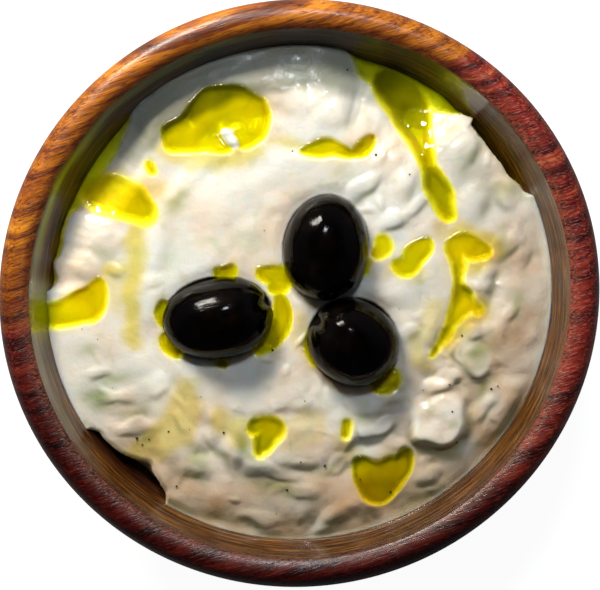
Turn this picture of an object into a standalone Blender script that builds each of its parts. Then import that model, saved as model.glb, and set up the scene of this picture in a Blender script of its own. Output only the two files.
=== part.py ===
"""Tzatziki in a turned wooden bowl, with olive oil round it and three black olives set into the top.

Metres, +Z up. The origin is the centre of the bowl's foot. +Y points to the far side of the table,
and the grain of the bowl runs 18 degrees anticlockwise of +X.
"""

import math
import random

import bmesh
import bpy
from mathutils import Vector

MM = 0.001
CLEARANCE = 0.3 * MM  # left between pieces that touch
UNDER_CLEARANCE = 1.2 * MM  # deep in the bowl, where the facets of its inside are long
SECTORS = 72  # facets round the bowl, the dip and the oil, so that their corners line up

# The bowl. Wood shrinks across the grain, so it has dried a little oval.
RIM_RADIUS = 69.2 * MM
RIM_HEIGHT = 50.4 * MM
RIM_CREST_RADIUS = 65.4 * MM
RIM_SIDE_HEIGHT = 46.2 * MM  # where the rounded rim runs into the outer side
RIM_INNER_SPREAD = 5 * MM  # how slowly the rim falls towards its inner corner
MOUTH_RADIUS = 62.2 * MM
FOOT_RADIUS = 34 * MM
FOOT_HEIGHT = 3 * MM
SIDE_STEPS = 7
SIDE_RISE = 1.25  # these two shape the outer side between an ellipse and a fuller curve
SIDE_FLARE = 1.1
INSIDE_HALF = 65.9 * MM  # the inside is an elliptical arc about this point on the axis
INSIDE_CENTRE_Z = 70 * MM
INSIDE_DEPTH = 63 * MM
GRAIN_ANGLE = math.radians(18)
OVAL = (1.0115, 0.9885)  # along and across the grain

# The dip's surface.
EDGE_LEVEL = 41.5 * MM  # where it meets the wall
CROWN = 3.0 * MM  # how far the middle stands above the edge
DIP_RINGS = 17
DIP_UNDER_RINGS = 7
RING_SPACING = 0.85  # below 1 the rings lie closer towards the wall
TROUGH_DEPTH = 1.9 * MM  # the spiral left by the back of the spoon
TROUGH_HALF_WIDTH = 3.6 * MM
TROUGH_START = 70  # degrees, at the wall
TROUGH_START_RADIUS = 54 * MM
TROUGH_INNER_RADIUS = 34.5 * MM
TROUGH_TURN_IN = 30  # degrees in which it closes in by a factor of e
LUMP_REACH = 54 * MM
LUMP_COUNT = 46  # grated cucumber just under the surface
LUMP_HEIGHT = (0.5 * MM, 1.3 * MM)
LUMP_RADIUS = (3.0 * MM, 5.0 * MM)

# Where the dip stands back from the wall: (degrees, mm back), and the drop of its bank there.
BANK_CURVE = 1.5  # above 1 the bank bulges
GAPS = {
    "oil_left": {
        "back": ((130, 0), (138, 5.0), (147, 9.0), (158, 6.0), (169, 4.0), (180, 0)),
        "drop": 7.5 * MM,
        "oil_level": 39.8 * MM,
    },
    "oil_right": {
        "back": ((22, 0), (34, 4.0), (45, 4.5), (53, 8.5), (63, 11.0), (73, 6.5), (81, 0)),
        "drop": 7.5 * MM,
        "oil_level": 40.0 * MM,
    },
    "oil_front": {
        "back": ((212, 0), (221, 3.5), (229, 6.5), (235, 6.0), (241, 0)),
        "drop": 8.5 * MM,
        "oil_level": 36.6 * MM,
    },
}
OIL_STEPS = 4
HALVINGS = 30  # in each search for a place on the bank
OIL_OFF_BANK = CLEARANCE + 0.3 * MM  # the bank's facets are coarser than its curve
OIL_OFF_WALL = CLEARANCE + 0.1 * MM
OIL_LEAST_WIDTH = 0.4 * MM
OIL_LEAST_DEPTH = 0.6 * MM

# The olives: centre in mm, the direction of the stem end, half length and width in mm, egg taper.
OLIVES = {
    "olive_1": ((6.0, 11.1, 46.2), (-0.139, -0.990, -0.03), 12.4, 10.1, 0.05),
    "olive_2": ((-19.2, -5.4, 45.4), (0.990, 0.139, 0.02), 13.0, 9.75, 0.04),
    "olive_3": ((12.4, -11.0, 45.8), (-0.830, 0.555, 0.04), 10.9, 10.3, 0.03),
}
OLIVE_SEGMENTS = 24
OLIVE_RINGS = 14
STEM_DENT = 1.1 * MM
STEM_DENT_SPREAD = 0.26  # radians from the stem end


def linear(hex_colour):
    """An sRGB hex value as linear RGBA."""
    channels = [int(hex_colour[i : i + 2], 16) / 255 for i in (1, 3, 5)]
    return (*[c / 12.92 if c <= 0.04045 else ((c + 0.055) / 1.055) ** 2.4 for c in channels], 1)


def make_material(name, colour, roughness, alpha=1.0):
    material = bpy.data.materials.new(name)
    material.use_nodes = True
    shader = material.node_tree.nodes["Principled BSDF"]
    shader.inputs["Base Color"].default_value = linear(colour)
    shader.inputs["Roughness"].default_value = roughness
    shader.inputs["Metallic"].default_value = 0
    shader.inputs["Alpha"].default_value = alpha
    return material


def smoothstep(low, high, value):
    t = min(max((value - low) / (high - low), 0), 1)
    return t * t * (3 - 2 * t)


def wall_radius(z):
    """The radius of the bowl's inside at a height, before the bowl is made oval."""
    below = (INSIDE_CENTRE_Z - z) / INSIDE_DEPTH
    return INSIDE_HALF * math.sqrt(max(1 - below * below, 0))


def inside_height(radius):
    return INSIDE_CENTRE_Z - INSIDE_DEPTH * math.sqrt(max(1 - (radius / INSIDE_HALF) ** 2, 0))


def clear_scene():
    for obj in list(bpy.data.objects):
        bpy.data.objects.remove(obj, do_unlink=True)


def make_collection(name):
    collection = bpy.data.collections.new(name)
    bpy.context.scene.collection.children.link(collection)
    return collection


def add_object(name, mesh, collection, material):
    obj = bpy.data.objects.new(name, mesh)
    collection.objects.link(obj)
    if material:
        mesh.materials.append(material)
    return obj


def shade_round(mesh, sharp_degrees=60):
    mesh.shade_smooth()
    mesh.set_sharp_from_angle(angle=math.radians(sharp_degrees))


def seat_on_grain(obj):
    """Turns a piece made about +X so that its length lies along the grain, with the bowl's oval."""
    obj.rotation_euler.z = GRAIN_ANGLE
    obj.scale = (OVAL[0], OVAL[1], 1)


def elliptical_arc(centre, half_width, half_height, start, end, steps):
    """Points (radius, z) on an ellipse, the angles in degrees from +radius."""
    points = []
    for i in range(steps + 1):
        angle = math.radians(start + (end - start) * i / steps)
        points.append((centre[0] + half_width * math.cos(angle), centre[1] + half_height * math.sin(angle)))
    return points


def bowl_profile():
    """(radius, z) from the middle of the floor, up the inside, over the rim and down to the foot."""
    crown_height = RIM_HEIGHT - RIM_SIDE_HEIGHT
    corner = math.degrees(math.acos((RIM_CREST_RADIUS - MOUTH_RADIUS) / RIM_INNER_SPREAD))
    over_rim = elliptical_arc(
        (RIM_CREST_RADIUS, RIM_SIDE_HEIGHT), RIM_INNER_SPREAD, crown_height, 180 - corner, 90, 3
    )
    down_rim = elliptical_arc(
        (RIM_CREST_RADIUS, RIM_SIDE_HEIGHT), RIM_RADIUS - RIM_CREST_RADIUS, crown_height, 90, 0, 5
    )
    mouth_z = over_rim[0][1] - 0.4 * MM
    inside = []
    for t in (0, 0.04, 0.16, 0.34, 0.55, 0.76, 0.91):
        z = INSIDE_CENTRE_Z - INSIDE_DEPTH + t * (mouth_z - INSIDE_CENTRE_Z + INSIDE_DEPTH)
        inside.append((wall_radius(z), z))
    inside.append((wall_radius(mouth_z), mouth_z))
    outside = []
    for step in range(1, SIDE_STEPS):
        turn = math.pi / 2 * step / SIDE_STEPS
        z = FOOT_HEIGHT + (RIM_SIDE_HEIGHT - FOOT_HEIGHT) * (1 - math.sin(turn) ** SIDE_RISE)
        outside.append((FOOT_RADIUS + (RIM_RADIUS - FOOT_RADIUS) * math.cos(turn) ** SIDE_FLARE, z))
    foot = [(FOOT_RADIUS, FOOT_HEIGHT), (FOOT_RADIUS - 0.8 * MM, 0), (0, 0)]
    return inside + over_rim + down_rim[1:] + outside + foot


def make_bowl(collection):
    profile = bowl_profile()
    mesh = bpy.data.meshes.new("bowl")
    edges = [(i, i + 1) for i in range(len(profile) - 1)]
    mesh.from_pydata([(radius, 0, z) for radius, z in profile], edges, [])
    bowl = add_object("bowl", mesh, collection, make_material("oiled acacia", "#5a2a18", 0.35))
    turning = bowl.modifiers.new("turning", "SCREW")
    turning.steps = SECTORS
    turning.render_steps = SECTORS
    turning.use_merge_vertices = True
    turning.merge_threshold = 0.0001
    turning.use_smooth_shade = True
    seat_on_grain(bowl)


def gap_back(gap, degrees):
    """How far the dip's top stands back from the wall at an angle, smoothly through the gap's points."""
    points = gap["back"]
    for (a, back_a), (b, back_b) in zip(points, points[1:]):
        if a <= degrees <= b:
            return (back_a + (back_b - back_a) * smoothstep(a, b, degrees)) * MM
    return 0.0


def gap_at(degrees):
    for gap in GAPS.values():
        back = gap_back(gap, degrees % 360)
        if back > 0:
            return gap, back
    return None, 0.0


def edge_of_dip(degrees):
    """(radius, z, how far back the bank starts) where the dip ends on the wall."""
    gap, back = gap_at(degrees)
    z = EDGE_LEVEL
    if gap:
        widest = max(b for _, b in gap["back"]) * MM
        z -= gap["drop"] * smoothstep(0, 0.5 * widest, back)
    return wall_radius(z) - CLEARANCE, z, back


def make_lumps():
    """Seeded (x, y, height, radius) of the cucumber under the surface, thicker on the right."""
    dice = random.Random(7)
    lumps = []
    while len(lumps) < LUMP_COUNT:
        x, y = dice.uniform(-LUMP_REACH, LUMP_REACH), dice.uniform(-LUMP_REACH, LUMP_REACH)
        if math.hypot(x, y) > LUMP_REACH or dice.random() > 0.45 * (1 + x / LUMP_REACH):
            continue
        lumps.append((x, y, dice.uniform(*LUMP_HEIGHT), dice.uniform(*LUMP_RADIUS)))
    return lumps


LUMPS = make_lumps()


def trough_radius(degrees):
    turned = (TROUGH_START - degrees) % 360
    closes_in = TROUGH_START_RADIUS - TROUGH_INNER_RADIUS
    return TROUGH_INNER_RADIUS + closes_in * math.exp(-turned / TROUGH_TURN_IN)


def dip_height(radius, degrees):
    """The height of the dip's top at a place: a low crown, the spoon's spiral, the lumps and the banks."""
    edge_radius, edge_z, back = edge_of_dip(degrees)
    reach = wall_radius(EDGE_LEVEL)
    crown = CROWN * (1 - min(radius / reach, 1) ** 3)
    across = (radius - trough_radius(degrees)) / TROUGH_HALF_WIDTH
    trough = TROUGH_DEPTH * math.exp(-across * across)
    x, y = radius * math.cos(math.radians(degrees)), radius * math.sin(math.radians(degrees))
    bumps = sum(h * math.exp(-((x - a) ** 2 + (y - b) ** 2) / (r * r)) for a, b, h, r in LUMPS)
    fade = smoothstep(0, 5 * MM, reach - radius)
    z = EDGE_LEVEL + crown + (bumps - trough) * fade
    if back > 0:
        down = min(max((radius - edge_radius + back) / back, 0), 1)
        z += (edge_z - z) * down**BANK_CURVE
    elif radius >= edge_radius:
        z = edge_z
    return z


def local_degrees(x, y):
    return (math.degrees(math.atan2(y, x)) + math.degrees(GRAIN_ANGLE)) % 360


def make_dip(collection):
    """A ball of rings whose upper half becomes the dip's top and whose lower half lines the bowl."""
    rings = DIP_RINGS + DIP_UNDER_RINGS
    mesh = bpy.data.meshes.new("dip")
    bm = bmesh.new()
    bmesh.ops.create_uvsphere(bm, u_segments=SECTORS, v_segments=rings, radius=1)
    floor_z = INSIDE_CENTRE_Z - INSIDE_DEPTH + UNDER_CLEARANCE
    for vert in bm.verts:
        direction = vert.co.normalized()
        ring = round(math.acos(max(-1, min(1, direction.z))) / math.pi * rings)
        degrees = local_degrees(direction.x, direction.y)
        edge_radius, edge_z, _ = edge_of_dip(degrees)
        if ring <= DIP_RINGS:
            radius = edge_radius * (ring / DIP_RINGS) ** RING_SPACING
            z = dip_height(radius, degrees)
        else:
            share = (ring - DIP_RINGS) / DIP_UNDER_RINGS
            radius = edge_radius * math.cos(math.pi / 2 * share)
            z = max(inside_height(radius + CLEARANCE) + UNDER_CLEARANCE * share, floor_z)
        planar = Vector((direction.x, direction.y, 0))
        planar = planar.normalized() * radius if 0 < ring < rings else Vector((0, 0, 0))
        vert.co = (planar.x, planar.y, z)
    bm.to_mesh(mesh)
    bm.free()
    dip = add_object("dip", mesh, collection, make_material("strained yoghurt", "#ece6d6", 0.35))
    shade_round(mesh)
    seat_on_grain(dip)
    return dip


def olive_mesh(name, half_length, half_width, taper, grow=0.0):
    """An olive about the origin with its stem end, a shallow dent, at +Z."""
    mesh = bpy.data.meshes.new(name)
    bm = bmesh.new()
    bmesh.ops.create_uvsphere(bm, u_segments=OLIVE_SEGMENTS, v_segments=OLIVE_RINGS, radius=1)
    for vert in bm.verts:
        along = vert.co.z
        from_stem = math.acos(max(-1, min(1, along)))
        width = (half_width * MM + grow) * (1 + taper * along)
        dent = STEM_DENT * math.exp(-((from_stem / STEM_DENT_SPREAD) ** 2)) if not grow else 0
        vert.co = (vert.co.x * width, vert.co.y * width, along * (half_length * MM + grow) - dent)
    bm.to_mesh(mesh)
    bm.free()
    shade_round(mesh)
    return mesh


def place_olive(obj, centre, stem_direction):
    obj.location = Vector(centre) * MM
    obj.rotation_euler = Vector(stem_direction).to_track_quat("Z", "Y").to_euler()


def make_olives(collection, cutters, dip):
    """The olives, and for each a slightly larger one that cuts its seat in the dip."""
    skin = make_material("ripe black olive skin", "#140a08", 0.15)
    for name, (centre, stem_direction, half_length, half_width, taper) in OLIVES.items():
        size = (half_length, half_width, taper)
        olive = add_object(name, olive_mesh(name, *size), collection, skin)
        place_olive(olive, centre, stem_direction)
        seat_name = f"seat_of_{name}"
        seat = add_object(seat_name, olive_mesh(seat_name, *size, grow=CLEARANCE + 0.1 * MM), cutters, None)
        place_olive(seat, centre, stem_direction)
        seat.hide_render = True
        seat.display_type = "WIRE"
        cut = dip.modifiers.new(seat_name, "BOOLEAN")
        cut.operation = "DIFFERENCE"
        cut.object = seat


def bank_radius(z, edge_radius, degrees, back):
    """Where the dip's bank is at a height, found by halving between its top and the wall."""
    low, high = edge_radius - back, edge_radius
    for _ in range(HALVINGS):
        middle = (low + high) / 2
        if dip_height(middle, degrees) > z:
            low = middle
        else:
            high = middle
    return high


def oil_width(z, edge_radius, degrees, back):
    """(the bank's side, the wall's side) of the pool at a height, clear of both."""
    return bank_radius(z, edge_radius, degrees, back) + OIL_OFF_BANK, wall_radius(z) - OIL_OFF_WALL


def oil_section(gap, degrees, back):
    """The pool's outline at one angle, as (radius, z) round it, or nothing where it is too narrow."""
    edge_radius, edge_z, _ = edge_of_dip(degrees)
    place = (edge_radius, degrees, back)
    level = gap["oil_level"]
    floor, wide_enough = edge_z, level
    for _ in range(HALVINGS):
        middle = (floor + wide_enough) / 2
        dip_side, wall_side = oil_width(middle, *place)
        if wall_side - dip_side < OIL_LEAST_WIDTH:
            floor = middle
        else:
            wide_enough = middle
    if level - floor < OIL_LEAST_DEPTH:
        return None
    heights = [level + (floor - level) * i / OIL_STEPS for i in range(OIL_STEPS + 1)]
    sides = [(*oil_width(z, *place), z) for z in heights]
    return [(wall, z) for _, wall, z in sides] + [(dip, z) for dip, _, z in reversed(sides)]


def make_oil(name, gap, collection, material):
    """A pool between the wall and the dip's bank: sections joined round the bowl, closed at both ends."""
    step = 360 / SECTORS
    grain = math.degrees(GRAIN_ANGLE)
    sections = []
    for i in range(SECTORS):
        degrees = (i * step + grain) % 360
        back = gap_back(gap, degrees)
        section = oil_section(gap, degrees, back) if back > 0 else None
        if section:
            sections.append((math.radians(degrees - grain), section))
    mesh = bpy.data.meshes.new(name)
    bm = bmesh.new()
    rows = []
    for angle, section in sections:
        rows.append([bm.verts.new((r * math.cos(angle), r * math.sin(angle), z)) for r, z in section])
    for row, following in zip(rows, rows[1:]):
        for k in range(len(row)):
            after = (k + 1) % len(row)
            bm.faces.new((row[k], row[after], following[after], following[k]))
    bm.faces.new(rows[0])
    bm.faces.new(rows[-1][::-1])
    bmesh.ops.recalc_face_normals(bm, faces=bm.faces)
    bm.to_mesh(mesh)
    bm.free()
    oil = add_object(name, mesh, collection, material)
    shade_round(mesh, 50)
    seat_on_grain(oil)


def main():
    clear_scene()
    parts = make_collection("tzatziki_dip")
    cutters = make_collection("cutters")
    make_bowl(parts)
    dip = make_dip(parts)
    make_olives(parts, cutters, dip)
    oil_material = make_material("olive oil", "#b3a906", 0.05, alpha=0.7)
    for name, gap in GAPS.items():
        make_oil(name, gap, parts, oil_material)


main()
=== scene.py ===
# The looks of a tzatziki dip in a turned acacia bowl, with olive oil and three black olives.
# Sizes are in millimetres until a mesh is made. +Y points to the far side of the table, and
# angles are degrees anticlockwise of +X.
import math
from functools import partial

import bmesh
import bpy
import numpy as np
from mathutils import Matrix, Vector


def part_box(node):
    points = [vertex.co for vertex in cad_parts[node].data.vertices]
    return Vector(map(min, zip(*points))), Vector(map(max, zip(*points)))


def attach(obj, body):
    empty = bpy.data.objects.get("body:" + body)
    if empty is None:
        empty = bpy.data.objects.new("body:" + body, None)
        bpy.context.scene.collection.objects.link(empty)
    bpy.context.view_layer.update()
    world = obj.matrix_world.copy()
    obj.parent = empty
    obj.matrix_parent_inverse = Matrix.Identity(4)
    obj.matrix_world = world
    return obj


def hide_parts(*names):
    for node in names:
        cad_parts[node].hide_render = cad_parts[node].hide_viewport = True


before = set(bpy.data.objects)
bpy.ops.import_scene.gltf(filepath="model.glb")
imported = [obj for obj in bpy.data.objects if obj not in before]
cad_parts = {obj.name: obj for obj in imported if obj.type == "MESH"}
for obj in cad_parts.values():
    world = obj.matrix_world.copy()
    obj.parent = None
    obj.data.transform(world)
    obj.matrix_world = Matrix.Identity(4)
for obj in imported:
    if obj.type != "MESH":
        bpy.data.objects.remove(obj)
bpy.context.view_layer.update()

mm = 0.001
tiny = 1e-9
sameSpot = 0.02 * mm
wallEdge = 58.9  # radius at which the dip, where it is whole, ends on the wall


def linear(hexColour):
    # An sRGB hex colour as linear light.
    channels = [int(hexColour[i : i + 2], 16) / 255 for i in (1, 3, 5)]
    return (*[c / 12.92 if c <= 0.04045 else ((c + 0.055) / 1.055) ** 2.4 for c in channels], 1)


def addNode(tree, kind, inputs=None, **settings):
    # Adds a node, a shader one unless its kind says otherwise, and gives back its outputs. An input
    # takes a value or another node's output, and stops fill a colour ramp.
    node = tree.nodes.new(kind if "Node" in kind else "ShaderNode" + kind)
    for name, value in settings.items():
        if name == "stops":
            elements = node.color_ramp.elements
            elements.remove(elements[1])
            elements[0].position, elements[0].color = value[0][0], linear(value[0][1])
            for position, colour in value[1:]:
                elements.new(position).color = linear(colour)
        else:
            setattr(node, name, value)
    for name, value in (inputs or {}).items():
        if isinstance(value, bpy.types.NodeSocket):
            tree.links.new(value, node.inputs[name])
        else:
            node.inputs[name].default_value = value
    return node.outputs


def startMaterial(name):
    # A material with an empty tree, and what adds nodes to it.
    material = bpy.data.materials.new(name)
    material.use_nodes = True
    material.node_tree.nodes.clear()
    return material, partial(addNode, material.node_tree)


def startGeometryTree(name, given, made, sizes):
    # Geometry nodes with one mesh in, named sizes of these kinds, and one mesh out: the tree, what
    # adds nodes to it, and what it is given.
    tree = bpy.data.node_groups.new(name, "GeometryNodeTree")
    for inputName, kind in ((given, "Geometry"), *sizes.items()):
        tree.interface.new_socket(inputName, in_out="INPUT", socket_type="NodeSocket" + kind)
    tree.interface.new_socket(made, in_out="OUTPUT", socket_type="NodeSocketGeometry")
    add = partial(addNode, tree)
    return tree, add, add("NodeGroupInput")


def tinted(add, colour, layers):
    # A colour with layers of (share, blend, tint) on it.
    for share, blend, tint in layers:
        mixed = {0: share, 6: colour, 7: linear(tint)}
        colour = add("Mix", mixed, data_type="RGBA", blend_type=blend)[2]
    return colour


def stretchedPattern(add, place, size, detail, between=None, most=1.0, roughness=0.5, offset=(0, 0, 0)):
    # Noise with features of this length, width and height, or only its peaks between two levels.
    step = tuple(1 / extent for extent in size)
    stepped = add("VectorMath", {0: place, 1: step, 2: offset}, operation="MULTIPLY_ADD")[0]
    pattern = add("TexNoise", {"Vector": stepped, "Scale": 1.0, "Detail": detail,
        "Roughness": roughness})["Fac"]
    if not between:
        return pattern
    peaks = {"Value": pattern, "From Min": between[0], "From Max": between[1], "To Max": most}
    return add("MapRange", peaks)[0]


def smooth(low, high, value):
    t = np.clip((value - low) / (high - low), 0, 1)
    return t * t * (3 - 2 * t)


def hump(value, width):
    # 1 at 0, falling softly to nothing at about twice the width.
    return np.exp(-((value / width) ** 2))


def softNoise(x, y, across, seed, wrap=None):
    # Smooth noise from -1 to 1 with features this far across. With wrap, y repeats after that many.
    size = 256
    x, y = x / across, y / across
    lattice = np.random.RandomState(seed).uniform(-1, 1, (size, size))
    left, low = np.floor(x), np.floor(y)
    u, v = x - left, y - low
    u, v = u * u * (3 - 2 * u), v * v * (3 - 2 * v)
    i, j = left.astype(int) % size, low.astype(int)
    below, above = (j % wrap, (j + 1) % wrap) if wrap else (j % size, (j + 1) % size)
    right = (i + 1) % size
    bottom = lattice[i, below] * (1 - u) + lattice[right, below] * u
    top = lattice[i, above] * (1 - u) + lattice[right, above] * u
    return bottom * (1 - v) + top * v


def inFrame(x, y, middleX, middleY, turn, halfLength=1.0, halfWidth=1.0):
    # Places along and across a turned shape, in shares of its half sizes.
    c, s = math.cos(math.radians(turn)), math.sin(math.radians(turn))
    along, across = (x - middleX) * c + (y - middleY) * s, (y - middleY) * c - (x - middleX) * s
    return along / halfLength, across / halfWidth


def roundTheBowl(points, degrees):
    # A smooth value at each angle through (degrees, value) points, flat at its highs and lows.
    at = np.array([p[0] for p in points], float)
    values = np.array([p[1] for p in points], float)
    at = np.concatenate((at[-2:] - 360, at, at[:2] + 360))
    values = np.concatenate((values[-2:], values, values[:2]))
    rise = np.diff(values) / np.diff(at)
    before, after = rise[:-1], rise[1:]
    turning = before * after > 0
    slopes = np.zeros(len(at))
    slopes[1:-1] = np.where(turning, 2 * before * after / np.where(turning, before + after, 1), 0)
    i = np.clip(np.searchsorted(at, degrees) - 1, 0, len(at) - 2)
    span = at[i + 1] - at[i]
    t = np.clip((degrees - at[i]) / span, 0, 1)
    start = (1 + 2 * t) * (1 - t) ** 2 * values[i] + t * (1 - t) ** 2 * span * slopes[i]
    end = t * t * (3 - 2 * t) * values[i + 1] + t * t * (t - 1) * span * slopes[i + 1]
    return start + end


def softMax(a, b, width):
    share = np.clip(0.5 + 0.5 * (a - b) / width, 0, 1)
    return b + (a - b) * share + width * share * (1 - share)


def flowedDrops(drops):
    # More drops between those of a run, along a smooth curve through them.
    points = np.array(drops, float)
    if len(points) < 3:
        return points
    ends = np.concatenate((points[:1] * 2 - points[1:2], points, points[-1:] * 2 - points[-2:-1]))
    flowed = []
    for before, start, end, after in zip(ends, ends[1:], ends[2:], ends[3:]):
        for t in (0, 1 / 3, 2 / 3):
            bend = (2 * before - 5 * start + 4 * end - after) * t
            bend = bend + (3 * start - before - 3 * end + after) * t * t
            flowed.append(start + 0.5 * t * (end - before + bend))
    return np.array([*flowed, points[-1]])


def insideRun(x, y, drops):
    # How far inside a run of oil each place is. Its drops are (x, y, radius), flowed together.
    x, y = np.asarray(x, float), np.asarray(y, float)
    points = flowedDrops(drops)
    reach = points[:, 2].max() + 4
    near = (x > points[:, 0].min() - reach) & (x < points[:, 0].max() + reach)
    near = near & (y > points[:, 1].min() - reach) & (y < points[:, 1].max() + reach)
    nearX, nearY = x[near], y[near]
    depths = np.full(nearX.shape, -9.0)
    for (ax, ay, aRadius), (bx, by, bRadius) in zip(points, points[1:] if len(points) > 1 else points):
        dx, dy = bx - ax, by - ay
        t = np.clip(((nearX - ax) * dx + (nearY - ay) * dy) / (dx * dx + dy * dy + tiny), 0, 1)
        depth = aRadius + (bRadius - aRadius) * t - np.hypot(nearX - ax - dx * t, nearY - ay - dy * t)
        depths = softMax(depths, depth, 0.7)
    inside = np.full(x.shape, -9.0)
    inside[near] = depths
    return inside


def meshFrom(name, points, faces, material):
    # A mesh from points in mm.
    mesh = bpy.data.meshes.new(name)
    mesh.from_pydata((np.asarray(points) * mm).tolist(), [], faces)
    mesh.materials.append(material)
    return mesh


def addMesh(name, mesh, replaced=()):
    # Shows a mesh as a piece that rides on the bowl's body.
    mesh.name = name
    mesh.shade_smooth()
    piece = bpy.data.objects.new(name, mesh)
    bpy.context.scene.collection.objects.link(piece)
    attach(piece, "root")
    if replaced:
        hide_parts(*replaced)
    print(name, len(mesh.vertices), "points")


def addField(mesh, name, values, kind="FLOAT"):
    # Numbers or vectors on a mesh's points, for its material or its geometry nodes to read.
    field = mesh.attributes.new(name, kind, "POINT")
    key = "vector" if kind == "FLOAT_VECTOR" else "value"
    field.data.foreach_set(key, np.asarray(values, np.float32).reshape(-1))


# The bowl, turned with its grain across, then dried a little oval.
bowlShape = {
    "rimRadius": 69.2,
    "rimHeight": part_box("bowl")[1].z / mm,
    "crestRadius": 65.4,
    "rimSideHeight": 46.2,  # where the rounded rim runs into the outer side
    "rimInnerSpread": 5.0,
    "mouthRadius": 62.2,
    "footRadius": 34.0,
    "footHeight": 3.0,
    "footBevel": 0.8,
    "sideRise": 1.25,  # these two set how full the outer side is
    "sideFlare": 1.1,
    "insideHalf": 65.9,
    "insideCentre": 70.0,  # height of the middle of the inside's elliptical arc
    "insideDepth": 63.0,
    "insidePoints": 46,
    "grainDegrees": 18.0,
    "oval": (1.0115, 0.9885),  # along and across the grain
    "steps": 288,
    "ringRadius": 50.0,  # of the circle that the profile is carried round
}


def ovalPolar(x, y):
    # Radius and angle of places, as on the bowl before it dried oval.
    along, across = inFrame(x, y, 0, 0, bowlShape["grainDegrees"], *bowlShape["oval"])
    degrees = np.degrees(np.arctan2(across, along)) + bowlShape["grainDegrees"]
    return np.hypot(along, across), degrees % 360


def ovalPlace(radius, degrees):
    # The other way: places on the oval bowl.
    angle = np.radians(degrees - bowlShape["grainDegrees"])
    longer, shorter = bowlShape["oval"]
    along, across = radius * np.cos(angle) * longer, radius * np.sin(angle) * shorter
    return inFrame(along, across, 0, 0, -bowlShape["grainDegrees"])


def wallRadius(z):
    below = (bowlShape["insideCentre"] - z) / bowlShape["insideDepth"]
    return bowlShape["insideHalf"] * np.sqrt(np.maximum(1 - below * below, 0))


def insideHeight(radius):
    share = np.clip(radius / bowlShape["insideHalf"], 0, 1)
    return bowlShape["insideCentre"] - bowlShape["insideDepth"] * np.sqrt(1 - share * share)


def bowlProfile():
    # (radius, z) from the middle of the floor, up the inside, over the rim and down to the foot.
    size = bowlShape
    crest, rimSide, foot = size["crestRadius"], size["rimSideHeight"], size["footRadius"]
    crown = size["rimHeight"] - rimSide
    corner = math.acos((crest - size["mouthRadius"]) / size["rimInnerSpread"])
    floor = size["insideCentre"] - size["insideDepth"]
    insideHigh = rimSide + crown * math.sin(corner) - 0.4 - floor
    heights = floor + insideHigh * np.linspace(0, 1, size["insidePoints"]) ** 1.7
    points = [(float(wallRadius(z)), z) for z in heights]
    for angle in np.linspace(math.pi - corner, math.pi / 2, 14):
        points.append((crest + size["rimInnerSpread"] * math.cos(angle), rimSide + crown * math.sin(angle)))
    outer = size["rimRadius"] - crest
    for angle in np.linspace(math.pi / 2, 0, 20)[1:]:
        points.append((crest + outer * math.cos(angle), rimSide + crown * math.sin(angle)))
    rise = rimSide - size["footHeight"]
    for angle in np.linspace(0, math.pi / 2, 40)[1:]:
        x = foot + (size["rimRadius"] - foot) * math.cos(angle) ** size["sideFlare"]
        points.append((x, size["footHeight"] + rise * (1 - math.sin(angle) ** size["sideRise"])))
    points += [(foot, 1.4), (foot - size["footBevel"], 0)]
    return points + [(radius, 0.0) for radius in (28.0, 18.0, 8.0, 0.0)]


def turningTree(material, insideMaterial):
    # Turns a profile on a lathe and lets the wood dry oval along its grain.
    tree, add, given = startGeometryTree(
        "turned on a lathe", "Profile", "Bowl",
        {"Steps": "Int", "Ring Radius": "Float", "Oval": "Vector", "Grain Angle": "Vector"},
    )
    profile = add("GeometryNodeMeshToCurve", {"Mesh": given["Profile"]})[0]
    lathe = add("GeometryNodeCurvePrimitiveCircle",
        {"Resolution": given["Steps"], "Radius": given["Ring Radius"]})["Curve"]
    bowl = add("GeometryNodeCurveToMesh", {"Curve": lathe, "Profile Curve": profile})[0]
    wet = add("GeometryNodeInputNamedAttribute", {"Name": "insideWall"}, data_type="FLOAT")["Attribute"]
    for kind, inputs in (
        ("MergeByDistance", {"Distance": sameSpot}),
        ("Transform", {"Scale": given["Oval"]}),
        ("Transform", {"Rotation": given["Grain Angle"]}),
        ("RealizeInstances", {}),
        ("SetMaterial", {"Material": material}),
        ("SetMaterial", {"Selection": wet, "Material": insideMaterial}),
    ):
        bowl = add("GeometryNode" + kind, {"Geometry": bowl, **inputs})[0]
    add("NodeGroupOutput", {"Bowl": bowl})
    return tree


def runNodes(start, tree, values):
    # Runs geometry nodes on a mesh and gives back what they make as a plain mesh.
    source = bpy.data.objects.new(tree.name, start)
    bpy.context.scene.collection.objects.link(source)
    modifier = source.modifiers.new(tree.name, "NODES")
    modifier.node_group = tree
    for item in tree.interface.items_tree:
        if item.item_type == "SOCKET" and item.in_out == "INPUT" and item.name in values:
            modifier[item.identifier] = values[item.name]
    graph = bpy.context.evaluated_depsgraph_get()
    made = bpy.data.meshes.new_from_object(source.evaluated_get(graph))
    source.modifiers.remove(modifier)
    bpy.data.objects.remove(source)
    return made


woodLook = {
    "ringWidth": 2.6,
    "pith": (0, 150, 40),  # where the growth rings' middle lay
    "fibre": (12, 0.5, 0.5),  # length, width and height of each mark
    "wallFibre": (14, 9, 0.4),  # inside, the wall cuts fibres to fine lines that follow it round
    "pore": (3.2, 0.3, 0.3),
    "dash": (2.2, 0.36, 0.36),
    "cornerFleck": (2.4, 0.34, 0.34),
    "heart": ((0.3, "#160203"), (0.42, "#4a0d09"), (0.52, "#86251a"), (0.61, "#a43a24"), (0.72, "#cc7c4a")),
    "sap": ((0.3, "#3a1806"), (0.42, "#7a3c0c"), (0.52, "#b2650f"), (0.62, "#d6861a"), (0.72, "#e09a34")),
    "wetWall": ((0.34, "#180a04"), (0.48, "#45260c"), (0.6, "#744812"), (0.72, "#a06a1a")),
}


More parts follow.
